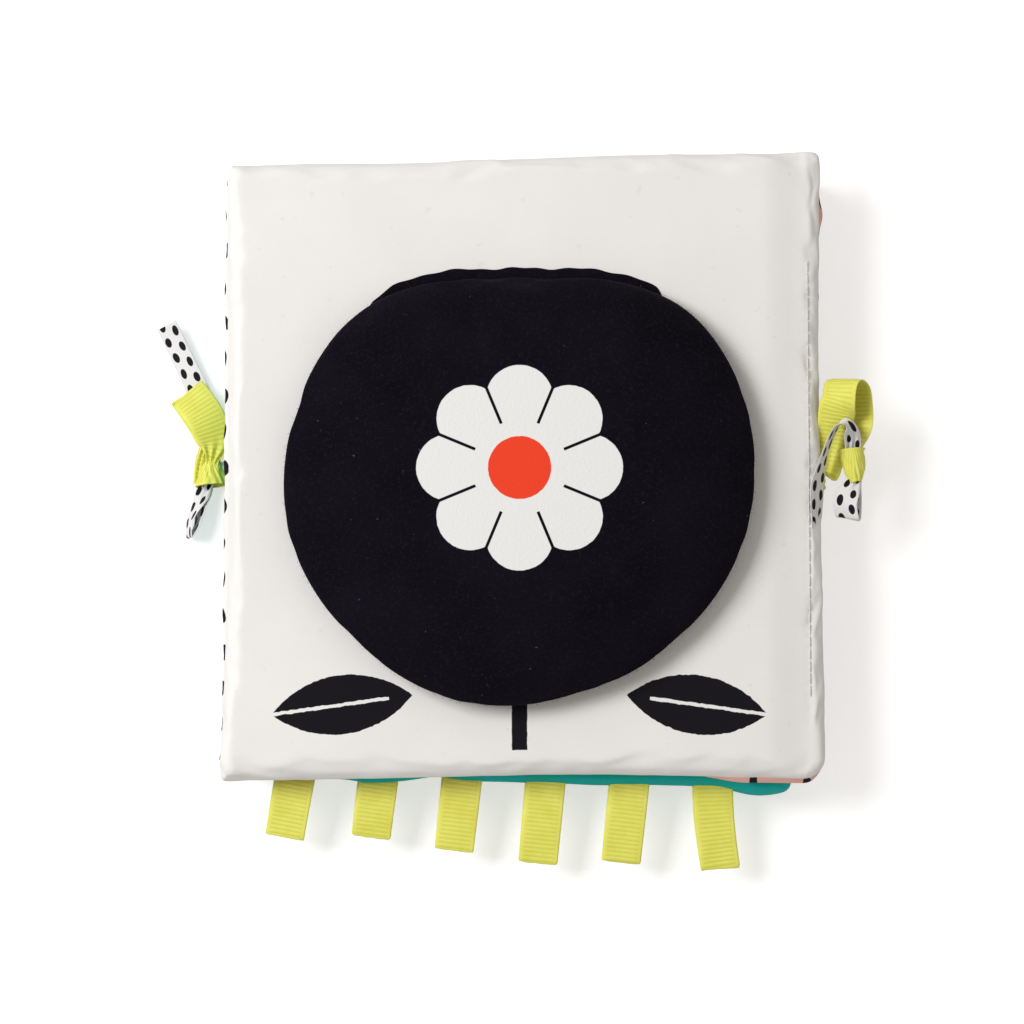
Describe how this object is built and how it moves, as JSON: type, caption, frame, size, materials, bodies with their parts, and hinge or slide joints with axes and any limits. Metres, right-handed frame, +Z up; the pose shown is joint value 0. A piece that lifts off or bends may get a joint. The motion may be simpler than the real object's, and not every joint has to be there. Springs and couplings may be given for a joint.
{
  "type": "soft activity book",
  "caption": "Closed zigzag book of three padded cloth panels, with a stuffed round lift-up flap on the cover, ribbon tags along the bottom and a bow at each side.",
  "frame": {"origin": "middle of the back cover's underside, where the closed book lies on a table", "axes": "+X to the right and +Y up the front cover as it is read, +Z up out of the front cover"},
  "size_m": [0.1848, 0.1827, 0.0413],
  "materials": {
    "white_cotton": "plain-woven off-white cotton",
    "dotted_cotton": "off-white cotton printed with small black dots",
    "teal_cotton": "teal cotton",
    "peach_cotton": "peach cotton printed with small black marks",
    "black_brushed_cotton": "soft brushed cotton dyed near black",
    "black_print": "black ink printed on cotton",
    "white_print": "white ground left in the print",
    "red_print": "orange-red ink printed on cotton",
    "wadding": "white polyester wadding",
    "lime_grosgrain": "lime grosgrain ribbon with cross ribs",
    "dotted_tape": "white cotton tape with black dots"
  },
  "bodies": {
    "back_cover": {"back_outer": "dotted_cotton", "back_wadding": "wadding", "back_inner": "teal_cotton", "left_ribbon": "lime_grosgrain", "left_tape": "dotted_tape"},
    "page": {"page_reverse": "teal_cotton", "page_wadding": "wadding", "page_face": "dotted_cotton", "ribbon_tag_1": "lime_grosgrain", "ribbon_tag_2": "lime_grosgrain", "ribbon_tag_3": "lime_grosgrain", "ribbon_tag_4": "lime_grosgrain", "ribbon_tag_5": "lime_grosgrain", "ribbon_tag_6": "lime_grosgrain"},
    "front_cover": {"cover_lining": "peach_cotton", "cover_wadding": "wadding", "cover_face": "white_cotton", "leaf_print": "black_print", "right_ribbon": "lime_grosgrain", "right_tape": "dotted_tape"},
    "flap": {"flap_back": "black_brushed_cotton", "flap_filling": "wadding", "flap_face": "black_brushed_cotton", "petal_print": "white_print", "centre_print": "red_print"}
  },
  "joints": [
    {"name": "page_fold", "type": "hinge", "parent": "back_cover", "child": "page", "pos_m": [0.07615, 0, 0.00915], "axis": [0, 1, 0], "range_deg": [0, 180]},
    {"name": "cover_fold", "type": "hinge", "parent": "page", "child": "front_cover", "pos_m": [-0.07615, 0, 0.01845], "axis": [0, -1, 0], "range_deg": [0, 180]},
    {"name": "flap_lift", "type": "hinge", "parent": "front_cover", "child": "flap", "pos_m": [-0.0009, 0.05157, 0.02785], "axis": [-1, 0, 0], "range_deg": [0, 110]}
  ]
}
